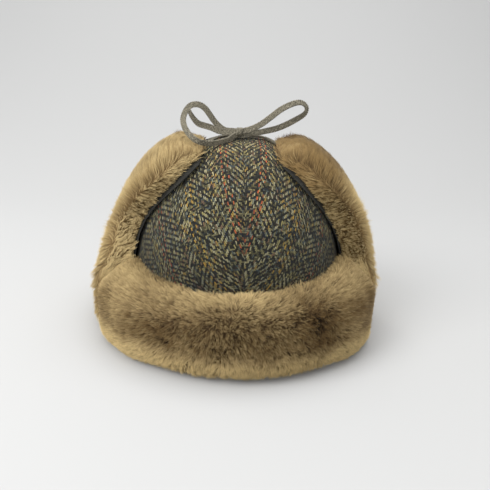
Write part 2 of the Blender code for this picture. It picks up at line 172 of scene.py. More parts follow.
TIP_REACH = {1: 0.0075, -1: 0.003}
FUR_TIP_SINK = 0.0065
CLOTH_TIP_SINK = 0.0095
TIP_ACROSS = (0.06, 0.036)
TIP_HEIGHTS = (0.14, 0.156)
SINK_HEIGHTS = (0.156, 0.173)

# Pile: strands that stand in a drawn-in base
SKIN_SMOOTHING = 2
STANDING_DEPTH = 0.0038
LYING_DEPTH = 0.0026
EDGE_DEPTH = 0.0028
TIP_DEPTH_SHARE = 0.45
NEAR_KNOT = (0.062, 0.032)
RIDGE_HEIGHTS = (0.04, 0.066)
RIDGE_DROP = ((-0.07, 0.01), (-0.045, 0.0085), (0.0, 0.006), (0.04, 0.006), (0.062, 0.005))
OVER_SOLID = 0.0012
JOINT_TURNS = (0.9, 1.04, 1.27, 1.42)
JOINT_HEIGHTS = (0.064, 0.048)
JOINT_FOOT = (0.002, 0.014)
JOINT_STAND = {1: 0.0308, -1: 0.033}
JOINT_LEAN = 1.36
JOINT_REACH = 0.0013
JOINT_SQUARENESS = 2.4
CORNER_GAIN = 0.0035
CORNER_HEIGHTS = (0.06, 0.035)
CORNER_FACING = (0.0, 0.5)
EDGE_FACING = (-0.1, 0.5)
INNER_FACING = (-0.6, -0.1)
PILE_FACING = (-0.75, -0.25)
FACE_FACING = (0.8, 0.45)
FACE_START = (0.03, -0.02)
VISOR_ENDS = ((0.055, 0.092), (-0.05, -0.088))
BACK_SHARE = 0.9
BACK_ACROSS = (0.024, 0.008)
BACK_START = (0.06, 0.09)
STRANDS_PER_PILE = 84000
STRAND_WIDTH = 0.00038
STRAND_LONGEST = 0.016
TUFT_STRANDS = 80
LOCK_STRANDS = 9
LOCK_PULL = 0.24
SWING_SPREAD = (0.24, 0.2, 0.2)
LEAN_SPREAD = (0.12, 0.12)
LEAN_LIMITS = (0.1, 1.4)
FURTHEST_OVER = 1.52
REACH_SPREAD = 0.16
LENGTH_SPREAD = (0.84, 1.08)
TONE_SPREAD = (0.05, 0.07, 0.09)
STATIONS = (0.0, 0.5, 1.0)
BLADE_WIDTHS = (1.0, 0.8)
BLADE_SPREAD = (0.7, 1.3)
BLADE_TWIST = 0.35
NORMAL_SHARES = (0.65, 0.35)
NORMAL_SPREAD = 0.1
FLOOR_CLEARANCE = 0.0004

# Visor's comb: its zones' heights and facing, tones by place across, and its parts' lean,
# wildness, droop and reach. The tones are partly the pile's own colour and partly
# painted light and shade: the face darker towards the right, the upper edge, the hem
# and the ends paler.
VISOR_TOP = (0.046, 0.061)
VISOR_TOP_LOWER = 0.008
VISOR_HEM = (0.032, 0.012)
VISOR_OVER = (0.45, -0.1)
FACE_TONES = ((-0.075, 0.06), (-0.045, 0.06), (-0.02, 0.2), (0.008, 0.25), (0.04, 0.0), (0.075, 0.0))
TOP_TONES = ((-0.075, 0.36), (-0.05, 0.38), (-0.02, 0.55), (0.01, 0.52), (0.045, 0.36), (0.075, 0.42))
HEM_TONES = ((-0.06, 1.02), (-0.005, 0.8), (0.06, 1.05))
VISOR_LEAN = {"face": 0.34, "top": 0.8, "end": 0.95}
VISOR_WILD = {"face": 1.1, "top": 0.8, "end": 0.25}
VISOR_DROOP = (0.25, 0.38)
VISOR_REACH_MORE = 0.0018
VISOR_LEAST = 0.002

# Flaps' comb, likewise, with tones that are partly painted light and shade; the outer comb's angle turns
# with height
FLAP_HEM = (0.022, 0.004)
FLAP_MIDDLE = (0.085, 0.125)
FLAP_LIT = (0.115, 0.14)
FLAP_TOP = (0.11, 0.15)
FLAP_EDGE = (0.35, -0.1)
OUTER_COMB = (0.64, 2.85)
OUTER_COMB_HEIGHTS = (0.05, 0.165)
FLAP_LEAN = {"outer": 1.05, "face": 0.72, "tip": 0.75}
FLAP_WILD = (0.25, 0.6)
FLAP_DROOP = 0.32
FLAP_LEAST = 0.0018
FLAP_OUTER_MORE = 0.0016
FLAP_TONE = 0.66
FLAP_TONE_RANGE = (0.21, 0.79)

# Fur's colours, from the roots to the middle, the tips and the palest tips, and its
# seeds and maps. The dark roots, and the base that takes their colour from low on the
# map, are partly the pile's own colour and partly painted shade deep in the pile; the
# visor's colours are darker than the flaps', partly its own colour and partly painted shade.
VISOR_FUR = ((0.032, 0.014, 0.004), (0.095, 0.053, 0.016), (0.19, 0.113, 0.037), (0.86, 0.66, 0.32))
FLAP_FUR = ((0.09, 0.05, 0.017), (0.262, 0.164, 0.06), (0.31, 0.198, 0.07), (0.84, 0.66, 0.33))
VISOR_SEED = 21
FLAP_SEED = 31
FLAP_HALVES_AT = 0.02
STRAND_MAP_HALF = 0.004
BASE_MAP = (0.2, 0.1)
BASE_MAP_SIZE = 0.05
TONE_LIMITS = (0.01, 0.99)
WAVE_COUNT = 7
UP = np.array((0.0, 0.0, 1.0))

# Stage, and each light's name, place, size and power
FLOOR_WIDTH = 6.0
FLOOR_FRONT = -4.0
FLOOR_BACK = 2.0
BACKDROP_HEIGHT = 5.0
SWEEP_RADIUS = 1.6
SWEEP_STEPS = 24
LIGHT_AIM = (0.0, 0.0, 0.08)
LIGHTS = (("key", (-0.85, -0.55, 1.0), 0.8, 10.0),
          ("overhead", (0.1, 0.2, 2.2), 2.2, 34.0),
          ("front", (-0.3, -1.7, 0.9), 1.5, 8.0))


# Helpers

def unit(vectors):
    """Rows of an array, each made one long."""
    return vectors / np.maximum(np.linalg.norm(vectors, axis=-1, keepdims=True), 1e-9)


def mix(first, second, share):
    """Value a share of the way between two."""
    return first + (second - first) * share


def ease(low, high, value):
    """From 0 at low to 1 at high, smoothly."""
    share = np.clip((value - low) / (high - low), 0.0, 1.0)
    return share * share * (3 - 2 * share)


def link(thing):
    """Put a new object into the scene."""
    bpy.context.scene.collection.objects.link(thing)
    return thing


def dress(piece, finish):
    """Give a piece its finish and its place on the hat."""
    piece.data.materials.clear()
    piece.data.materials.append(finish)
    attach(piece, BODY)
    return piece


def only(piece):
    """Select one piece alone and make it the active one."""
    bpy.ops.object.select_all(action="DESELECT")
    piece.select_set(True)
    bpy.context.view_layer.objects.active = piece


def set_strand_map(mesh, values):
    """The map that a strand's finish reads, and the same again for baking it."""
    set_map(mesh, "strand", values)
    set_map(mesh, "OFBake", values)


def set_map(mesh, name, values):
    """A UV map whose values are given for each vertex of the mesh."""
    corners = np.empty(len(mesh.loops), np.int32)
    mesh.loops.foreach_get("vertex_index", corners)
    layer = mesh.uv_layers.new(name=name)
    layer.data.foreach_set("uv", values[corners].astype(np.float32).ravel())


def work_on_mesh(*steps):
    """Run mesh tools on the active piece, each with its settings and on all of it."""
    bpy.ops.object.mode_set(mode="EDIT")
    for tool, settings in steps:
        bpy.ops.mesh.select_all(action="SELECT")
        tool(**settings)
    bpy.ops.object.mode_set(mode="OBJECT")


def cut_below(place, upward):
    """The step that cuts off what lies below a plane."""
    return bpy.ops.mesh.bisect, {"plane_co": place, "plane_no": upward, "clear_inner": True}


# Camera

def make_camera():
    """The photograph's view: above the brim, a little to the hat's right."""
    data = bpy.data.cameras.new("camera")
    data.sensor_width = SENSOR_WIDTH
    data.lens = SENSOR_WIDTH * FOCAL_PIXELS / FRAME_PIXELS
    data.shift_x = PRINCIPAL_LEFT_PIXELS / FRAME_PIXELS
    data.clip_start = 0.01
    camera = link(bpy.data.objects.new("camera", data))
    turn = Matrix.Rotation(-CAMERA_TURN, 4, "Z")
    place = Matrix.Translation((0, -CAMERA_BACK, CAMERA_HEIGHT))
    pitch = Matrix.Rotation(math.pi / 2 - CAMERA_PITCH, 4, "X")
    camera.matrix_world = turn @ place @ pitch @ Matrix.Rotation(CAMERA_ROLL, 4, "Z")
    bpy.context.scene.camera = camera


# Crown form

def crown_out(points):
    """How far in plan each point lies, as a share of the crown's rim."""
    return np.hypot(points[:, 0] / HALF_WIDTH, points[:, 1] / HALF_LENGTH)


def crown_outward(points):
    """Outward direction of the crown's form near each point, level below the rim."""
    out = np.maximum(crown_out(points), 1e-6)
    level = out ** (CROWN_ROUNDNESS - 2)
    up = np.maximum(points[:, 2], 0.0) / CROWN_TOP
    return unit(np.stack([level * points[:, 0] / HALF_WIDTH ** 2,
                          level * points[:, 1] / HALF_LENGTH ** 2,
                          up ** (CROWN_ROUNDNESS - 1) / CROWN_TOP], axis=1))


def crown_height(across, forward):
    """Height of the crown's surface over a place in plan."""
    out = math.hypot(across / HALF_WIDTH, forward / HALF_LENGTH)
    return CROWN_TOP * (1 - out ** CROWN_ROUNDNESS) ** (1 / CROWN_ROUNDNESS)


# Tie

def smooth_route(points, step):
    """Points a step apart on a smooth curve through a route's own points."""
    knots = [np.array(point) for point in points]
    knots = [2 * knots[0] - knots[1]] + knots + [2 * knots[-1] - knots[-2]]
    fine = []
    for before, start, end, after in zip(knots, knots[1:], knots[2:], knots[3:]):
        for part in range(SPAN_PARTS):
            at = part / SPAN_PARTS
            fine.append(0.5 * (2 * start + (end - before) * at
                               + (2 * before - 5 * start + 4 * end - after) * at ** 2
                               + (3 * start - before - 3 * end + after) * at ** 3))
    fine.append(knots[-2])
    fine = np.array(fine)
    along = way_along(fine)
    wanted = np.linspace(0, along[-1], max(3, round(along[-1] / step) + 1))
    return np.stack([np.interp(wanted, along, fine[:, axis]) for axis in range(3)], axis=1)


def way_along(route):
    """How far along a line of points each of them lies."""
    return np.concatenate([[0], np.cumsum(np.linalg.norm(np.diff(route, axis=0), axis=1))])


def knot_middle():
    """Middle of the knot, which sits on the bridge."""
    cord = math.sqrt(CORD_WIDTH * CORD_THICKNESS)
    under = crown_height(KNOT_ACROSS, KNOT_FORWARD) + 2 * CORD_GAP + cord
    return np.array((KNOT_ACROSS, -KNOT_FORWARD, under + KNOT_HEIGHT / 2)) + KNOT_SHIFT


def from_knot(route, ends):
    """A route given across, forward and up from the knot, as points of the hat, with the
    ends that the knot holds led on into it."""
    middle = knot_middle()
    points = []
    for across, forward, up in np.array(route) / TENTHS:
        away = ease(*SHIFT_FADE, math.hypot(across, forward))
        points.append(middle + (across, -forward, up) - np.array(KNOT_SHIFT) * away)
    if "start" in ends:
        points.insert(0, mix(middle, points[0], INTO_KNOT))
    if "end" in ends:
        points.append(mix(middle, points[-1], INTO_KNOT))
    return points


def bridge_points():
    """The bridge's route over the crown, from one flap's tip to the other's."""
    lying = CORD_GAP + math.sqrt(CORD_WIDTH * CORD_THICKNESS) / 2
    points = []
    for across, forward, up in np.array(BRIDGE_ROUTE) / TENTHS:
        points.append((across, -forward, crown_height(across, forward) + lying + up))
    return points


def tilted_faces(route, tilts):
    """Which way the braid's flat face looks along a route in the open: towards the
    front, tilted about the cord by the angles of a short table, in degrees."""
    ahead = unit(np.gradient(route, axis=0))
    front = unit(CORD_FACES - ahead * (ahead @ CORD_FACES)[:, None])
    side = np.cross(ahead, front)
    shares = np.linspace(0, 1, len(route))
    tilt = np.radians(np.interp(shares, *zip(*tilts)))[:, None]
    return front * np.cos(tilt) + side * np.sin(tilt)


def tube(centres, first, second):
    """Points and faces of a tube whose section is drawn by two arrays of half axes."""
    angles = np.arange(STRAND_SIDES) * 2 * math.pi / STRAND_SIDES
    rings = (centres[:, None, :] + first[:, None, :] * np.cos(angles)[None, :, None]
             + second[:, None, :] * np.sin(angles)[None, :, None])
    faces = []
    for ring in range(len(centres) - 1):
        base = ring * STRAND_SIDES
        for side in range(STRAND_SIDES):
            low, high = base + side, base + (side + 1) % STRAND_SIDES
            faces.append((low, high, high + STRAND_SIDES, low + STRAND_SIDES))
    last = (len(centres) - 1) * STRAND_SIDES
    faces.append(tuple(reversed(range(STRAND_SIDES))))
    faces.append(tuple(range(last, last + STRAND_SIDES)))
    return rings.reshape(-1, 3), faces


def make_braid(name, route, faces_up, finish):
    """A flat plait along a route: strands that cross from edge to edge, over and under."""
    ahead = unit(np.gradient(route, axis=0))
    up = unit(faces_up - ahead * (ahead * faces_up).sum(1)[:, None])
    across = np.cross(up, ahead)
    along = way_along(route)
    sweep = CORD_WIDTH / 2 - STRAND_RADIUS
    rise = CORD_THICKNESS / 2 - STRAND_RADIUS
    points, polygons, shades, runs = [], [], [], []
    parts = [(route, across * (sweep * CORE_WIDE), up * (rise * CORE_HIGH))]
    for strand in range(BRAID_STRANDS):
        phase = (along / BRAID_PITCH + strand / BRAID_STRANDS) % 1.0
        wave = np.where(phase < 0.5, 4 * phase - 1, 3 - 4 * phase)
        wave = np.sin(wave * math.pi / 2) * WAVE_ROUNDING + wave * (1 - WAVE_ROUNDING)
        side = np.where(phase < 0.5, 1.0, -1.0)
        crossing = (wave + 1) / 2 * (BRAID_STRANDS - 1) - 0.5
        lift = side * np.cos(math.pi * crossing)
        centres = route + across * (wave * sweep)[:, None] + up * (lift * rise)[:, None]
        heading = unit(np.gradient(centres, axis=0))
        flat = unit(np.cross(up, heading))
        parts.append((centres, flat * STRAND_RADIUS, up * STRAND_RADIUS))
    around = np.tile(np.linspace(0.1, 0.9, STRAND_SIDES), len(route))
    for number, (centres, first, second) in enumerate(parts):
        new_points, new_faces = tube(centres, -first, second)
        offset = number * len(new_points)
        points.append(new_points)
        polygons += [tuple(corner + offset for corner in face) for face in new_faces]
        shades.append((number + around) / len(parts))
        runs.append(np.repeat(along, STRAND_SIDES))
    mesh = bpy.data.meshes.new(name)
    mesh.from_pydata(np.concatenate(points).tolist(), [], polygons)
    mesh.validate()
    mesh.shade_smooth()
    piece = link(bpy.data.objects.new(name, mesh))
    set_strand_map(mesh, np.stack([np.concatenate(shades), np.concatenate(runs) / BRAID_RUN], axis=1))
    return dress(piece, finish)


def make_tie(finish):
    """The tie: the bridge under the knot, the bow's two loops and its two ends. What hangs
    in the open has the angles that it is tilted by along its way."""
    knot = make_knot(finish)
    cords = (
        ("tie_bridge", bridge_points(), "object", None),
        ("bow_loop_left", from_knot(LEFT_LOOP_ROUTE, "start end"), "object",
         ((0.0, 10), (0.25, 0), (0.42, -15), (0.52, -58), (0.62, -30), (0.85, 10), (1.0, 15))),
        ("bow_loop_right", from_knot(RIGHT_LOOP_ROUTE, "start end"), "object",
         ((0.0, 10), (0.2, 12), (0.35, 6), (0.52, 20), (0.68, 34), (0.9, 50), (1.0, 40))),
        ("tie_end_right", from_knot(RIGHT_END_ROUTE, "start"), "bare",
         ((0.0, 5), (0.35, 0), (0.62, -10), (0.8, -35), (1.0, -60))),
        ("tie_end_left", from_knot(LEFT_END_ROUTE, "start"), "bare", None),
    )
    for node, points, far_end, tilts in cords:
        route = smooth_route(points, BRAID_STEP)
        faces_up = tilted_faces(route, tilts) if tilts else crown_outward(route)
        piece = make_braid(f"{node}_braid", route, faces_up, finish)
        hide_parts(node)


def make_knot(finish):
    """The knot: the braid wrapped once and a quarter round the strands it holds."""
    turns = np.radians(np.linspace(-KNOT_TURN, KNOT_TURN, KNOT_STEPS))
    way = np.linspace(0, 1, len(turns))
    halves = (0, KNOT_DEPTH / 2, KNOT_HEIGHT / 2)
    across, deep, high = (mix(half + start, half + end, way)
                          for half, (start, end) in zip(halves, KNOT_WRAP))
    round_it = np.stack([across, -np.cos(turns) * deep, np.sin(turns) * high], axis=1)
    outward = np.stack([np.zeros(len(turns)), -np.cos(turns) / deep, np.sin(turns) / high], axis=1)
    knot = make_braid("bow_knot_wrap", knot_middle() + round_it, unit(outward), finish)
    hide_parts("bow_knot")
    return knot


# Materials

class Finish:
    """A material and a short way to add and join its nodes."""

    def __init__(self, name, **surface):
        self.material = bpy.data.materials.new(name)
        self.material.use_nodes = True
        self.tree = self.material.node_tree
        self.shader = self.tree.nodes["Principled BSDF"]
        for place, value in surface.items():
            self.feed(self.shader, place.replace("_", " "), value)

    def feed(self, node, place, value):
        """Give an input of a node a number, a colour or another node's output."""
        if isinstance(value, bpy.types.NodeSocket):
            self.tree.links.new(value, node.inputs[place])
        elif isinstance(value, tuple):
            node.inputs[place].default_value = (*value, 1.0)
        else:
            node.inputs[place].default_value = value

    def add(self, kind, inputs=(), **settings):
        node = self.tree.nodes.new(kind)
        for name, value in settings.items():
            setattr(node, name, value)
        for place, value in inputs:
            self.feed(node, place, value)
        return node

    def math(self, operation, *values):
        return self.add("ShaderNodeMath", enumerate(values), operation=operation).outputs[0]

    def vector(self, *values):
        return self.add("ShaderNodeCombineXYZ", enumerate(values)).outputs[0]

    def apart(self, vector):
        """The three values of a vector."""
        return self.add("ShaderNodeSeparateXYZ", ((0, vector),)).outputs

    def uv(self, name):
        """The two values of a piece's own map."""
        return self.apart(self.add("ShaderNodeUVMap", uv_map=name).outputs[0])[:2]

    def ramp(self, value, stops, interpolation="LINEAR"):
        node = self.add("ShaderNodeValToRGB", ((0, value),))
        node.color_ramp.interpolation = interpolation
        band = node.color_ramp.elements
        while len(band) < len(stops):
            band.new(0.5)
        for element, (place, colour) in zip(band, stops):
            element.position = place
            element.color = (*colour, 1.0)
        return node.outputs[0]

    def blend(self, share, first, second, kind="MIX"):
        inputs = ((0, share), (6, first), (7, second))
        return self.add("ShaderNodeMix", inputs, data_type="RGBA", blend_type=kind).outputs[2]

    def noise(self, vector, scale, detail=2.0):
        inputs = (("Vector", vector), ("Scale", scale), ("Detail", detail))
        return self.add("ShaderNodeTexNoise", inputs).outputs["Fac"]

    def chance(self, *place):
        """An even value from 0 to 1 for each whole place."""
        inputs = (("Vector", self.vector(*place)),)
        return self.add("ShaderNodeTexWhiteNoise", inputs, noise_dimensions="2D").outputs["Value"]

    def object_place(self):
        return self.add("ShaderNodeTexCoord").outputs["Object"]

    def colour(self, output):
        self.feed(self.shader, "Base Color", output)

    def bump(self, height, strength, distance):
        inputs = (("Strength", strength), ("Distance", distance), ("Height", height))
        self.feed(self.shader, "Normal", self.add("ShaderNodeBump", inputs).outputs[0])


def braid_finish():
    """Olive grey braid: each strand a little lighter or darker, with painted shade along one
    edge of it and a little painted light over the rest, and a fine fleck."""
    finish = Finish("tie_braid", Roughness=0.82, Sheen_Weight=0.1)
    plus, times = (partial(finish.math, kind) for kind in ("ADD", "MULTIPLY"))
    strand, run = finish.uv("strand")
    fine, long = (finish.noise(finish.vector(times(strand, across), times(run, along)), 1.0)
                  for across, along in ((36.0, 130.0), (9.0, 9.0)))
    yarn = finish.ramp(plus(times(fine, 0.5), times(long, 0.5)), (
        (0.34, (0.06, 0.052, 0.035)), (0.5, (0.22, 0.198, 0.142)), (0.66, (0.43, 0.39, 0.298))))
    # Painted shade along one edge of each strand, as between the strands of the plait, and a little
    # painted light over the rest of it.
    from_edge = finish.math("PINGPONG", times(strand, BRAID_STRANDS + 1), 0.5)
    edge = finish.ramp(from_edge, ((0.12, (0.22, 0.21, 0.18)), (0.32, (1.06, 1.06, 1.06))))
    finish.colour(finish.blend(1.0, yarn, edge, "MULTIPLY"))
    return finish.material


def tweed_finish():
    """Herringbone tweed in the cloth's own flat measure: a two and two twill that turns
    at each column's edge, heathered yarns, and coloured warp yarns at every second edge,
    seen where the warp floats over the weft. Painted shade darkens the gaps between the
    yarns, with a little painted light on their middles, and darkens the crown towards its
    bottom, under the visor's roll."""
    finish = Finish("herringbone_tweed", Roughness=0.95, Sheen_Weight=0.05)
    plus, minus, times, over, whole, size, below, above = (partial(finish.math, kind) for kind in (
        "ADD", "SUBTRACT", "MULTIPLY", "DIVIDE", "FLOOR", "ABSOLUTE", "LESS_THAN", "GREATER_THAN"))
    flat_across, flat_along = finish.uv("cloth")
    place = finish.object_place()
    wander = times(minus(finish.noise(place, 420.0), 0.5), 1.2)
    warp = plus(over(flat_across, WARP_PITCH / CLOTH_UNIT), wander)
    weft = plus(over(flat_along, WEFT_PITCH / CLOTH_UNIT), times(wander, -0.8))
    warp_number = whole(warp)
    weft_number = whole(weft)
    column = whole(over(plus(warp_number, 0.5), COLUMN_YARNS))
    way = minus(times(finish.math("MODULO", size(column), 2.0), 2.0), 1.0)
    twill = plus(times(warp_number, way), weft_number)
    repeat = 2.0 * TWILL_FLOAT
    floats = below(finish.math("WRAP", twill, repeat, 0.0), TWILL_FLOAT - 0.5)
    stray = finish.chance(plus(warp_number, 211.0), weft_number)
    warp_up = size(minus(floats, below(stray, STRAY_CROSSINGS)))
    float_number = whole(over(twill, repeat))
    warp_fleck = finish.chance(warp_number, float_number)
    weft_fleck = finish.chance(float_number, plus(weft_number, 513.0))
    warp_colour = finish.ramp(warp_fleck, (
        (0.0, (0.022, 0.024, 0.025)), (0.13, (0.13, 0.118, 0.066)), (0.27, (0.31, 0.285, 0.165)),
        (0.43, (0.54, 0.48, 0.25)), (0.58, (0.13, 0.16, 0.19)), (0.65, (0.34, 0.21, 0.15)),
        (0.73, (0.64, 0.6, 0.46)), (0.88, (0.35, 0.37, 0.33)),
        (0.945, (0.56, 0.37, 0.11))), "CONSTANT")
    weft_colour = finish.ramp(weft_fleck, (
        (0.0, (0.002, 0.003, 0.004)), (0.38, (0.011, 0.012, 0.012)), (0.54, (0.01, 0.02, 0.052)),
        (0.63, (0.02, 0.034, 0.042)), (0.7, (0.085, 0.05, 0.034)), (0.78, (0.13, 0.116, 0.06)),
        (0.88, (0.32, 0.29, 0.175)), (0.96, (0.085, 0.125, 0.165))), "CONSTANT")
    from_seam = size(plus(warp_number, 0.5))
    for edge_number, bright, dull in STRIPES:
        away = size(minus(from_seam, edge_number * COLUMN_YARNS + 0.5))
        beside = times(finish.math("COMPARE", away, STRIPE_YARNS_OFF, 0.3), above(warp_fleck, 0.13))
        strong = finish.blend(above(warp_fleck, 0.42), dull, bright)
        warp_colour = finish.blend(times(beside, 0.9), warp_colour, strong)
    cloth = finish.blend(warp_up, weft_colour, warp_colour)
    warp_round, weft_round = (finish.math("PINGPONG", yarn, 0.5) for yarn in (warp, weft))
    from_gap = plus(times(warp_up, warp_round), times(minus(1.0, warp_up), weft_round))
    # Painted shade in the gaps between the yarns and a little painted light on their middles; the bump
    # below gives the same yarns their relief.
    painted_yarn_shading = finish.ramp(from_gap, ((0.0, (0.14, 0.14, 0.14)), (0.34, (1.16, 1.16, 1.16))))
    cloth = finish.blend(1.0, cloth, painted_yarn_shading, "MULTIPLY")
    fuzz = finish.noise(place, 1100.0)
    cloth = finish.blend(times(fuzz, 0.25), cloth, (0.08, 0.074, 0.046))
    patches = finish.ramp(finish.noise(place, 70.0, detail=3.0),
                          ((0.3, (0.52, 0.55, 0.58)), (0.7, (0.92, 0.89, 0.74))))
    cloth = finish.blend(1.0, cloth, patches, "MULTIPLY")
    # Painted shade by height: the crown darker towards its bottom, where the overhead light falls less
    # and the visor's roll shades it.
    height = over(finish.apart(place)[2], CROWN_TOP)
    painted_shade_by_height = finish.ramp(height, ((0.48, (0.43, 0.43, 0.38)), (0.56, (0.6, 0.6, 0.52)),
                                   (0.74, (0.79, 0.765, 0.66)), (0.92, (0.88, 0.82, 0.66))))
    finish.colour(finish.blend(1.0, cloth, painted_shade_by_height, "MULTIPLY"))
    relief = plus(times(warp_up, 0.5), plus(warp_round, weft_round))
    finish.bump(plus(relief, times(fuzz, 0.8)), 0.6, 0.0005)
    return finish.material


def dark_wool_and_gap_shade_finish():
    """Dark wool of the visor's and the flaps' own cloth, nearly black: where the flaps'
    cloth shows beyond the fur it is partly the cloth's colour and partly painted shade of
    the gap between fur and tweed.
    """
    finish = Finish("dark_wool_and_painted_gap_shade", Roughness=0.95)
    place = finish.object_place()
    fine, coarse = (finish.math("MULTIPLY", finish.noise(place, scale, detail), share)
                    for scale, detail, share in ((1100.0, 3.0, 0.6), (160.0, 2.0, 0.4)))
    tone = finish.math("ADD", fine, coarse)
    # Nearly black: partly the cloth's own dark colour, partly painted shade where the flaps' cloth shows
    # in the gap beside the fur.
    finish.colour(finish.ramp(tone, ((0.32, (0.008, 0.008, 0.007)), (0.55, (0.03, 0.029, 0.024)),
                                     (0.75, (0.085, 0.08, 0.06)))))
    finish.bump(tone, 0.5, 0.0006)
    return finish.material


def fur_finish(name, root, middle, tip, pale):
    """Pile whose strands run from dark roots to pale tips, the dark roots partly the pile's
    own colour and partly painted shade deep in the pile; the strand map holds each
    strand's tone across and the way along it upwards. The tone blends a darker and a
    paler colouring of the pile, and where it is set by place it carries painted light
    and shade as well."""
    finish = Finish(name, Roughness=0.7, Sheen_Weight=0.08, Sheen_Roughness=0.45, Specular_IOR_Level=0.25)
    tone, way = finish.uv("strand")
    # Dark roots: partly the pile's own colour, partly painted shade deep in the pile; the tone blends
    # this darker colouring with a paler one.
    dark = finish.ramp(way, ((0.0, root), (0.55, middle), (1.0, tip)))
    halfway = mix(np.array(tip), np.array(pale), 0.4)
    light = finish.ramp(way, ((0.0, middle), (0.45, halfway), (1.0, pale)))
    finish.colour(finish.blend(tone, dark, light))
    return finish.material


# Crown

def make_crown(side, word, finish):
    """Half of the tweed crown: a ball drawn to the hat's form, cut at the seam and the
    rim, and given its wall."""
    bpy.ops.object.select_all(action="DESELECT")
    bpy.ops.mesh.primitive_uv_sphere_add(segments=CROWN_SEGMENTS, ring_count=CROWN_RINGS, radius=1.0)
    piece = bpy.context.object
    piece.name = f"crown_{word}_tweed"
    piece.data.name = piece.name
    work_on_mesh(cut_below((0, 0, 0), (0, 0, 1)), cut_below((0, 0, 0), (side, 0, 0)))
    for vert in piece.data.vertices:
        level = math.hypot(vert.co.x, vert.co.y)
        rise = math.atan2(max(vert.co.z, 0.0), level)
        out = max(math.cos(rise), 0.0) ** (2 / CROWN_ROUNDNESS)
        up = max(math.sin(rise), 0.0) ** (2 / CROWN_ROUNDNESS)
        turn_x, turn_y = (vert.co.x / level, vert.co.y / level) if level > 1e-6 else (0.0, 0.0)
        vert.co = (HALF_WIDTH * out * turn_x, HALF_LENGTH * out * turn_y, CROWN_TOP * up)
        near_seam = max(0.0, 1 - abs(vert.co.x) / SEAM_SINK_WIDTH)
        vert.co *= 1 - SEAM_SINK * near_seam ** 2 / CROWN_TOP
    only(piece)
    work_on_mesh(cut_below((0, 0, CROWN_LIFT), (0, 0, 1)),
                 (bpy.ops.mesh.remove_doubles, {"threshold": 0.0001}),
                 (bpy.ops.mesh.normals_make_consistent, {"inside": False}))
    lay_cloth(piece)
    wall = piece.modifiers.new("wall", "SOLIDIFY")
    wall.thickness = CROWN_WALL
    wall.offset = -1.0
    bpy.ops.object.modifier_apply(modifier="wall")
    bpy.ops.object.shade_smooth()
    dress(piece, finish)
    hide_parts(f"crown_{word}")


def arm_at(across, lean):
    """How far the crown's surface lies from the axis that runs from side to side, at
    places across the hat and angles of lean about that axis."""
    low = np.zeros(np.broadcast(across, lean).shape)
    high = low + CROWN_TOP
    for _ in range(CLOTH_STEPS):
        arm = (low + high) / 2
        out = np.hypot(across / HALF_WIDTH, arm * np.cos(lean) / HALF_LENGTH)
        beyond = out ** CROWN_ROUNDNESS + (arm * np.sin(lean) / CROWN_TOP) ** CROWN_ROUNDNESS > 1
        low, high = np.where(beyond, low, arm), np.where(beyond, arm, high)
    return arm


def lay_cloth(piece):
    """The cloth's flat measure on the crown: across from the front to back seam, with
    what the seam takes in, and along over the top."""
    points = surface_of(piece.data)[0]
    lean = np.arctan2(points[:, 2], -points[:, 1])
    shares = np.linspace(0, 1, CLOTH_STEPS)[:, None]
    steps = shares * np.abs(points[:, 0])
    arms = arm_at(steps, lean)
    across = np.hypot(np.diff(steps, axis=0), np.diff(arms, axis=0)).sum(0)
    reach = np.minimum(lean, math.pi - lean)
    taken = SEAM_TAKE_IN * np.clip(1 - reach / SEAM_TAKE_IN_START, 0, 1) ** SEAM_TAKE_IN_POWER
    turns = mix(math.pi / 2, lean, shares)
    arms = arm_at(np.abs(points[:, 0]), turns)
    over = np.hypot(np.diff(arms * np.cos(turns), axis=0), np.diff(arms * np.sin(turns), axis=0)).sum(0)
    side = np.sign(points[:, 0].mean())
    values = np.stack([side * (across + taken), np.sign(lean - math.pi / 2) * over], axis=1)
    set_map(piece.data, "cloth", values / CLOTH_UNIT)


# Cloth behind the fur

def smooth_copy(node, name, smoothing):
    """A finer, smoother copy of a solid, as the start of the piece that replaces it."""
    piece = frame["nodes"][node].copy()
    piece.data = piece.data.copy()
    piece.name = name
    piece.data.name = name
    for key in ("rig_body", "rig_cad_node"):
        del piece[key]
    piece.parent = None
    only(link(piece))
    steps = [(bpy.ops.mesh.remove_doubles, {"threshold": 0.00001}),
             (bpy.ops.mesh.tris_convert_to_quads, {})]
    if smoothing:
        steps.append((bpy.ops.mesh.vertices_smooth, {"factor": 0.5, "repeat": smoothing}))
    work_on_mesh(*steps)
    piece.modifiers.new("finer", "SUBSURF")
    bpy.ops.object.modifier_apply(modifier="finer")
    bpy.ops.object.shade_smooth()
    return piece


def make_cloths(finish):
    """The dark cloth of the visor and the flaps; the flaps' shows beyond their fur as a
    near-black band, partly their cloth and partly painted shade of the gap.
    """
    for node in ("visor_cloth", "ear_flap_left_cloth", "ear_flap_right_cloth"):
        piece = smooth_copy(node, f"{node}_wool", 0)
        if node != "visor_cloth":
            points = surface_of(piece.data)[0]
            # The flaps' cloth is drawn on past the fur to lay a near-black band, partly painted shade of
            # the gap.
            points = shape_flap(points, CLOTH_REACH, CLOTH_TIP_SINK)
            piece.data.vertices.foreach_set("co", points.ravel())
            piece.data.update()
        dress(piece, finish)
        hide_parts(node)


def crown_level(points):
    """1 on the crown's form, more outside it."""
    up = np.maximum(points[:, 2], 0.0) / CROWN_TOP
    return (crown_out(points) ** CROWN_ROUNDNESS + up ** CROWN_ROUNDNESS) ** (1 / CROWN_ROUNDNESS)


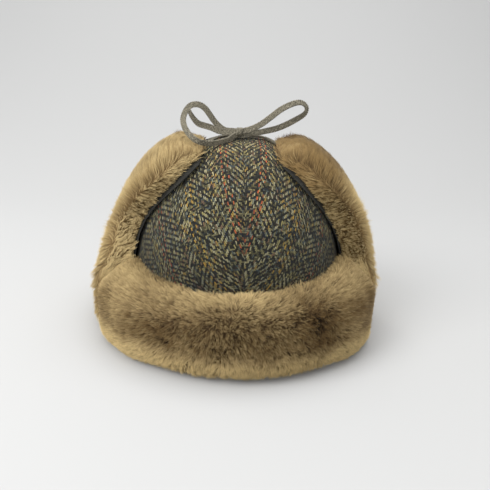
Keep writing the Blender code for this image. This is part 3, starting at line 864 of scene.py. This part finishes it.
def shape_flap(points, reaches, sink):
    """Draw a flap's edge that faces the tweed round over the crown, or back if the reach
    is below 0, keeping its height above the crown, and its tip to the knot and down."""
    side = 1 if points[:, 0].mean() > 0 else -1
    height = points[:, 2]
    out = np.hypot(points[:, 0], points[:, 1])
    turn = np.arctan2(side * points[:, 0], -points[:, 1])
    beyond = turn - np.interp(height, EDGE_HEIGHTS, EDGE_TURNS[side])
    reach = np.interp(height, EDGE_HEIGHTS, reaches[side]) * ease(*REACH_HEIGHTS, height)
    turn -= reach / np.maximum(out, LEAST_OUT) * ease(*EDGE_BLEND, beyond)
    moved = np.stack([side * out * np.sin(turn), -out * np.cos(turn), height], axis=1)
    moved *= (crown_level(points) / crown_level(moved))[:, None]
    tip = ease(*TIP_ACROSS, np.abs(moved[:, 0])) * ease(*TIP_HEIGHTS, moved[:, 2])
    down = sink * tip * ease(*SINK_HEIGHTS, moved[:, 2])
    return moved - np.stack([side * TIP_REACH[side] * tip, 0 * tip, down], axis=1)


# Fur

def waves(points, scale, seed):
    """A smooth field of values about -1 to 1 over space, its humps about scale wide."""
    chance = np.random.default_rng(seed)
    total = np.zeros(len(points))
    for _ in range(WAVE_COUNT):
        heading = unit(chance.normal(size=3)) * math.pi / (scale * chance.uniform(0.7, 1.5))
        total += np.sin(points @ heading + chance.uniform(0, 2 * math.pi))
    return total / math.sqrt(WAVE_COUNT / 2)


def along_surface(direction, outward):
    """A direction laid onto the surface at each place."""
    return unit(direction - outward * (direction * outward).sum(1)[:, None])


def facing_out(points, outward):
    """How far each place looks away from the crown: 1 straight out, 0 sideways."""
    return (outward * crown_outward(points)).sum(1)


def faded_depth(depth, facing):
    """A base's depth, made that of an edge sideways and none towards the crown."""
    return mix(EDGE_DEPTH, depth, ease(*EDGE_FACING, facing)) * ease(*INNER_FACING, facing)


def visor_depth(points, outward):
    """How deep the visor's base lies under its solid: less where its strands lie."""
    facing = facing_out(points, outward)
    end = ends_of_visor(points)
    depth = faded_depth(mix(STANDING_DEPTH, LYING_DEPTH, end), facing)
    corner = end * ease(*CORNER_HEIGHTS, points[:, 2]) * ease(*CORNER_FACING, facing)
    return depth - CORNER_GAIN * corner


def ends_of_visor(points):
    """1 at the visor's two ends, 0 along its front."""
    left, right = (ease(*places, points[:, 0]) for places in VISOR_ENDS)
    return np.maximum(left, right)


def flap_depth(points, outward):
    """How deep a flap's base lies under its solid: less at its tip, its outer side and
    the back."""
    depth = mix(LYING_DEPTH, STANDING_DEPTH, face_of_flap(points, outward))
    depth = faded_depth(depth, facing_out(points, outward))
    back = ease(*BACK_ACROSS, np.abs(points[:, 0])) * ease(*BACK_START, points[:, 1])
    return depth * (1 - (1 - TIP_DEPTH_SHARE) * near_knot(points)) * (1 - BACK_SHARE * back)


def face_of_flap(points, outward):
    """1 where a flap looks to the front and the tweed, 0 on its outer side."""
    return ease(*FACE_FACING, facing_out(points, outward)) * ease(*FACE_START, points[:, 1])


def near_knot(points):
    """1 at a flap's tip, 0 away from there."""
    return ease(*NEAR_KNOT, np.linalg.norm(points - knot_middle(), axis=1))


def near_joint(points):
    """1 where the visor's ends meet the flaps, 0 away from there."""
    turn = np.arctan2(np.abs(points[:, 0]), -points[:, 1])
    low, full, still, high = JOINT_TURNS
    upper = ease(*JOINT_HEIGHTS, points[:, 2])
    return ease(low, full, turn) * ease(high, still, turn) * (upper * ease(*JOINT_FOOT, points[:, 2]))


def fill_joint(points):
    """Square the shoulders of visor and flaps where they meet, so that the pile runs on
    from one to the other."""
    out = np.hypot(points[:, 0], points[:, 1])
    stand = out * (1 - 1 / np.maximum(crown_out(points), 0.5))
    full = np.where(points[:, 0] > 0, JOINT_STAND[1], JOINT_STAND[-1])
    share = np.clip(stand / full, 0, 1)
    squared = np.minimum(full * (1 - (1 - share) ** JOINT_SQUARENESS), full)
    grown = (out + (squared - stand) * near_joint(points)) / out
    return points * np.stack([grown, grown, np.ones(len(points))], axis=1)


def surface_of(mesh):
    """Points and outward directions of a mesh, as arrays."""
    points, normals = np.empty((2, len(mesh.vertices) * 3))
    mesh.vertices.foreach_get("co", points)
    mesh.vertex_normals.foreach_get("vector", normals)
    return points.reshape(-1, 3), normals.reshape(-1, 3)


def make_skin(node, name, finish, depth_of):
    """The pile's base under its strands: the solid's form, smoothed and drawn in."""
    piece = smooth_copy(node, name, SKIN_SMOOTHING)
    mesh = piece.data
    points, normals = surface_of(mesh)
    if node == "visor_fur":
        drop = np.interp(points[:, 0], *zip(*RIDGE_DROP)) * ease(*RIDGE_HEIGHTS, points[:, 2])
        points[:, 2] -= drop
    else:
        points = shape_flap(points, FUR_REACH, FUR_TIP_SINK)
    points = fill_joint(points - normals * depth_of(points, normals)[:, None])
    points[:, 2] = np.maximum(points[:, 2], FLOOR_CLEARANCE)
    mesh.vertices.foreach_set("co", points.ravel())
    mesh.update()
    while mesh.uv_layers:
        mesh.uv_layers.remove(mesh.uv_layers[0])
    spread = (points - points.min(0)) / (points.max(0) - points.min(0))
    # The base takes the dark root colour from the map: partly the pile's own dark underside, partly
    # painted shade deep in the pile.
    set_strand_map(mesh, BASE_MAP + BASE_MAP_SIZE * spread[:, ::2])
    dress(piece, finish)
    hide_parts(node)
    return piece


def scatter(mesh, count, chance):
    """Roots spread by area over the faces that look away from the crown."""
    mesh.calc_loop_triangles()
    triangles = np.empty(len(mesh.loop_triangles) * 3, np.int32)
    mesh.loop_triangles.foreach_get("vertices", triangles)
    triangles = triangles.reshape(-1, 3)
    points, normals = surface_of(mesh)
    first, second, third = (points[triangles[:, corner]] for corner in range(3))
    facing = facing_out(points, normals)[triangles].mean(1)
    area = np.linalg.norm(np.cross(second - first, third - first), axis=1) / 2
    area *= ease(*PILE_FACING, facing)
    picked = chance.choice(len(area), count, p=area / area.sum())
    one, two = chance.random((2, count, 1))
    folded = one + two > 1
    one, two = np.where(folded, 1 - one, one), np.where(folded, 1 - two, two)
    near, middle, far = triangles[picked].T
    place, lean = (values[near] * (1 - one - two) + values[middle] * one + values[far] * two
                   for values in (points, normals))
    return place, unit(lean)


def nearest(places, centres):
    """For each place, the number of the nearest centre."""
    tree = KDTree(len(centres))
    for number, centre in enumerate(centres):
        tree.insert(centre, number)
    tree.balance()
    return np.array([tree.find(place)[1] for place in places])


def strands(roots, outward, look, chance):
    """Middle lines and tones of strands: rooted, leaning along the comb, gathered in
    locks and those in tufts."""
    count = len(roots)
    tuft_count = count // TUFT_STRANDS
    lock_count = count // LOCK_STRANDS
    tufts = nearest(roots, roots[:tuft_count])
    locks = nearest(roots, roots[:lock_count])
    groups = (tuft_count, tufts), (lock_count, locks), (count, slice(None))

    def spread(shares, *wide):
        """Chance that a tuft's strands share, a lock's strands share and each has alone."""
        return sum(share * chance.normal(size=(number, *wide))[group]
                   for share, (number, group) in zip(shares, groups))

    wild = look["wild"]
    heading = along_surface(look["comb"] + spread(SWING_SPREAD, 3) * wild[:, None], outward)
    lean = np.clip(look["lean"] + wild * spread(LEAN_SPREAD), *LEAN_LIMITS)
    over = np.minimum(lean + look["droop"], FURTHEST_OVER)
    reach = look["reach"] * (1 + REACH_SPREAD * (chance.random(lock_count)[locks] - 0.5) * (0.5 + wild))
    long = 2 * reach / (np.cos(lean) + np.cos(over))
    long = (np.minimum(long, STRAND_LONGEST) * chance.uniform(*LENGTH_SPREAD, count))[:, None]
    start = outward * np.cos(lean)[:, None] + heading * np.sin(lean)[:, None]
    end = outward * np.cos(over)[:, None] + heading * np.sin(over)[:, None]
    lines = [roots + start * long * (way - way ** 2 / 2) + end * long * way ** 2 / 2 for way in STATIONS]
    lines = np.stack(lines, axis=1)
    pull = np.array(STATIONS) * LOCK_PULL
    lines = lines + (lines[:lock_count][locks] - lines) * pull[None, :, None]
    lines[:, 1:, 2] = np.maximum(lines[:, 1:, 2], FLOOR_CLEARANCE)
    return lines, look["tone"] + spread(TONE_SPREAD)


def blades(name, lines, outward, lift, tones, finish, chance):
    """A joined mesh of narrow blades along the strands, with the strand map. They are
    shaded mostly as the pile's surface is, so that the pile looks soft."""
    count = len(lines)
    ahead = unit(lines[:, -1] - lines[:, 0])
    flat = unit(np.cross(ahead, outward))
    up = np.cross(flat, ahead)
    twist = chance.normal(size=count)[:, None] * BLADE_TWIST
    side = flat * np.cos(twist) + up * np.sin(twist)
    wide = (STRAND_WIDTH * chance.uniform(*BLADE_SPREAD, count))[:, None] / 2
    rows = []
    for station, share in enumerate(BLADE_WIDTHS):
        rows += [lines[:, station] - side * wide * share, lines[:, station] + side * wide * share]
    rows.append(lines[:, -1])
    points = np.stack(rows, axis=1).reshape(-1, 3)
    per_strand = len(rows)
    base = (np.arange(count) * per_strand)[:, None]
    quads = base + (0, 1, 3, 2)
    tips = base + (2, 3, 4)
    corners = np.concatenate([quads.ravel(), tips.ravel()])
    mesh = bpy.data.meshes.new(name)
    mesh.vertices.add(len(points))
    mesh.vertices.foreach_set("co", points.ravel())
    mesh.loops.add(len(corners))
    mesh.loops.foreach_set("vertex_index", corners)
    mesh.polygons.add(2 * count)
    starts = np.concatenate([np.arange(count) * 4, quads.size + np.arange(count) * 3])
    mesh.polygons.foreach_set("loop_start", starts)
    mesh.update(calc_edges=True)
    around = np.array((-1, 1, -1, 1, 0)) * STRAND_MAP_HALF
    upward = np.array((0.0, 0.0, 0.5, 0.5, 1.0))
    values = np.stack([np.clip(tones[:, None], *TONE_LIMITS) + around[None, :],
                       np.tile(upward, (count, 1))], axis=2).reshape(-1, 2)
    set_strand_map(mesh, values)
    mesh.shade_smooth()
    piece = link(bpy.data.objects.new(name, mesh))
    soft = outward * NORMAL_SHARES[0] + up * NORMAL_SHARES[1] + UP * lift[:, None]
    soft = unit(soft + chance.normal(size=(count, 3)) * NORMAL_SPREAD)
    mesh.normals_split_custom_set_from_vertices(np.repeat(soft, per_strand, axis=0))
    return dress(piece, finish)


def make_pile(node, finish, depth_of, look_of, halves, seed):
    """A fur node's pile: its base, and its strands in two pieces."""
    skin = make_skin(node, f"{node}_base", finish, depth_of)
    chance = np.random.default_rng(seed)
    roots, outward = scatter(skin.data, STRANDS_PER_PILE, chance)
    look = look_of(roots, outward)
    lines, tones = strands(roots, outward, look, chance)
    first = halves(roots)
    for word, chosen in (("a", first), ("b", ~first)):
        blades(f"{node}_pile_{word}", lines[chosen], outward[chosen], look["lift"][chosen], tones[chosen],
               finish, chance)


def visor_look(roots, outward):
    """The visor's comb: standing on its face, lying along its upper edge, hanging at its
    hem and swept back smooth at its ends. Its tones, partly the pile's own colour and
    partly painted light and shade, make the face dark, darkest towards the right, and the
    upper edge, the hem and the ends pale."""
    across, height = roots[:, 0], roots[:, 2]
    level = crown_outward(roots * (1, 1, 0))
    side = np.cross(level, UP)
    back = side * np.sign(-roots[:, 0:1])
    top = ease(VISOR_TOP[0] - VISOR_TOP_LOWER * ease(0.0, -0.06, across), VISOR_TOP[1], height)
    over = ease(*VISOR_OVER, facing_out(roots, outward))
    hem = ease(*VISOR_HEM, height)
    end = ends_of_visor(roots)
    joint = near_joint(roots)
    swirl = waves(roots, 0.026, 3)
    sweep = np.clip(0.15 - across / 0.06, -1.0, 1.1) + 0.3 * swirl
    drift = (0.1 + 0.4 * swirl - 0.5 * ease(0.0, 0.05, across)) * (1 - hem)
    face_comb = -0.35 * UP + side * drift[:, None]
    top_comb = side * sweep[:, None] + UP * 0.05 - level * 0.2
    over_comb = side * (0.5 * sweep)[:, None] - level - UP * 0.3
    comb = mix(mix(face_comb, top_comb, top[:, None]), over_comb, over[:, None])
    comb = mix(comb, back - UP * mix(0.35, -0.1, top)[:, None], (end * (1 - over))[:, None])
    lean = mix(VISOR_LEAN["face"], VISOR_LEAN["top"], np.maximum(top, 0.7 * hem))
    lean = mix(mix(lean, VISOR_LEAN["end"], np.maximum(end, over)), JOINT_LEAN, joint)
    # Tones by place: partly the pile's own colour, partly painted shade on the face towards the right and
    # painted light on the upper edge, the hem and the ends.
    face_tone, top_tone, hem_tone = (np.interp(across, *zip(*tones))
                                     for tones in (FACE_TONES, TOP_TONES, HEM_TONES))
    tone = face_tone + top_tone * top + hem_tone * hem
    tone += mix(0.12, 0.13, across < 0) * end * (1 - hem) + 0.06 * waves(roots, 0.02, 5)
    reach = np.maximum(visor_depth(roots, outward) * (1 - 0.2 * top), VISOR_LEAST)
    reach = mix(reach + mix(OVER_SOLID, VISOR_REACH_MORE, end), JOINT_REACH, joint)
    wild = mix(mix(VISOR_WILD["face"], VISOR_WILD["top"], top), VISOR_WILD["end"], end * (1 - hem))
    return {"comb": comb, "lean": lean, "reach": reach, "tone": tone, "lift": 1.5 * hem,
            "wild": wild * (1 - 0.6 * hem) * (1 - 0.4 * joint),
            "droop": mix(*VISOR_DROOP, np.maximum(np.maximum(top, hem), end))}


def flap_look(side):
    """A flap's comb: its face towards the knot, its outer side down and back. The face
    and the outer side are lit and toned apart on the left flap and the right: their
    shading normals are lifted apart, and their tones carry painted light on the right
    flap's face and the left flap's lower parts, and painted shade on the left flap's top."""
    def look(roots, outward):
        height = roots[:, 2]
        across = np.cross(UP, crown_outward(roots)) * side
        face = face_of_flap(roots, outward)
        edge = ease(*FLAP_EDGE, facing_out(roots, outward))
        hem = ease(*FLAP_HEM, height)
        top = ease(*FLAP_TOP, height)
        below = 1 - top
        joint = near_joint(roots)
        swirl = waves(roots, 0.032, 7 + side)[:, None]
        to_knot = along_surface(knot_middle() - roots, outward)
        swing = mix(*OUTER_COMB, ease(*OUTER_COMB_HEIGHTS, height))[:, None]
        outer_comb = across * np.sin(swing) - UP * np.cos(swing) + swirl * UP * 0.2
        face_comb = to_knot - across * 0.18 + swirl * across * 0.35
        lean = mix(FLAP_LEAN["outer"], FLAP_LEAN["face"], face)
        # Tones: partly the pile's own colour and partly painted light and shade. The hem is paler, partly
        # painted light; the face is darker low down and at its inner edge by the tweed, painted shade.
        tone = FLAP_TONE + 0.08 * waves(roots, 0.022, 11 + side) + 0.12 * hem + 0.02 * top
        tone -= 0.06 * face * below + 0.1 * edge * face * below
        # Each flap toned apart, partly painted light and shade: the left flap with painted shade on its
        # top and painted light lower down, the right flap with painted light on its face and painted
        # shade on its outer side and top.
        if side > 0:
            tone -= 1.0 * top + (0.06 * face - 0.32) * below
            middle = ease(*FLAP_MIDDLE, height)
            lift = 0.6 * face * ease(*FLAP_LIT, height) + 0.5 * (1 - face) * middle * below
        else:
            tone += 0.34 * face * below - 0.14 * (1 - face) - 0.16 * top
            lift = 0.85 * face
        reach = np.maximum(flap_depth(roots, outward), FLAP_LEAST)
        reach += mix(FLAP_OUTER_MORE, OVER_SOLID, face) * (1 - edge)
        return {"comb": mix(outer_comb, face_comb, face[:, None]),
                "lean": mix(mix(lean, FLAP_LEAN["tip"], near_knot(roots)), JOINT_LEAN, joint),
                "reach": mix(reach, JOINT_REACH, joint), "lift": 0.5 * hem + lift,
                "tone": FLAP_TONE_RANGE[0] + FLAP_TONE_RANGE[1] * tone,
                "wild": mix(*FLAP_WILD, face), "droop": FLAP_DROOP}
    return look


# Stage and light

def make_stage():
    """A pale floor that sweeps up into a pale backdrop."""
    turns = np.radians(np.linspace(0, 90, SWEEP_STEPS + 1))
    outline = [(FLOOR_FRONT, 0.0)]
    outline += zip(FLOOR_BACK - SWEEP_RADIUS * (1 - np.sin(turns)), SWEEP_RADIUS * (1 - np.cos(turns)))
    outline.append((FLOOR_BACK, BACKDROP_HEIGHT))
    points = [(side * FLOOR_WIDTH / 2, *place) for place in outline for side in (-1, 1)]
    faces = [(base, base + 1, base + 3, base + 2) for base in range(0, len(points) - 2, 2)]
    mesh = bpy.data.meshes.new("floor")
    mesh.from_pydata(points, [], faces)
    mesh.shade_smooth()
    floor = link(bpy.data.objects.new("floor", mesh))
    paper = Finish("pale_paper", Roughness=0.95, Specular_IOR_Level=0.1)
    paper.colour((0.6, 0.6, 0.595))
    mesh.materials.append(paper.material)


def make_light(name, place, size, power):
    """A soft square light looking at the hat."""
    data = bpy.data.lights.new(name, "AREA")
    data.shape = "SQUARE"
    data.size = size
    data.energy = power
    light = link(bpy.data.objects.new(name, data))
    light.location = place
    light.rotation_euler = (Vector(LIGHT_AIM) - Vector(place)).to_track_quat("-Z", "Y").to_euler()


def light_scene():
    """Soft studio light from above, strongest from the upper left of the picture."""
    world = bpy.data.worlds.new("room")
    world.use_nodes = True
    colour, strength = world.node_tree.nodes["Background"].inputs[:2]
    colour.default_value = (0.86, 0.87, 0.88, 1.0)
    strength.default_value = 0.56
    bpy.context.scene.world = world
    for light in LIGHTS:
        make_light(*light)
    bpy.context.scene.view_settings.view_transform = "Standard"


make_camera()
make_tie(braid_finish())
tweed_material = tweed_finish()
for crown_side, crown_word in ((1, "left"), (-1, "right")):
    make_crown(crown_side, crown_word, tweed_material)
make_cloths(dark_wool_and_gap_shade_finish())
make_pile("visor_fur", fur_finish("visor_pile", *VISOR_FUR), visor_depth, visor_look,
          lambda roots: roots[:, 0] < 0, VISOR_SEED)
flap_material = fur_finish("flap_pile", *FLAP_FUR)
for flap_side, flap_word in ((1, "left"), (-1, "right")):
    make_pile(f"ear_flap_{flap_word}_fur", flap_material, flap_depth, flap_look(flap_side),
              lambda roots: roots[:, 1] < FLAP_HALVES_AT, FLAP_SEED + flap_side)
make_stage()
light_scene()
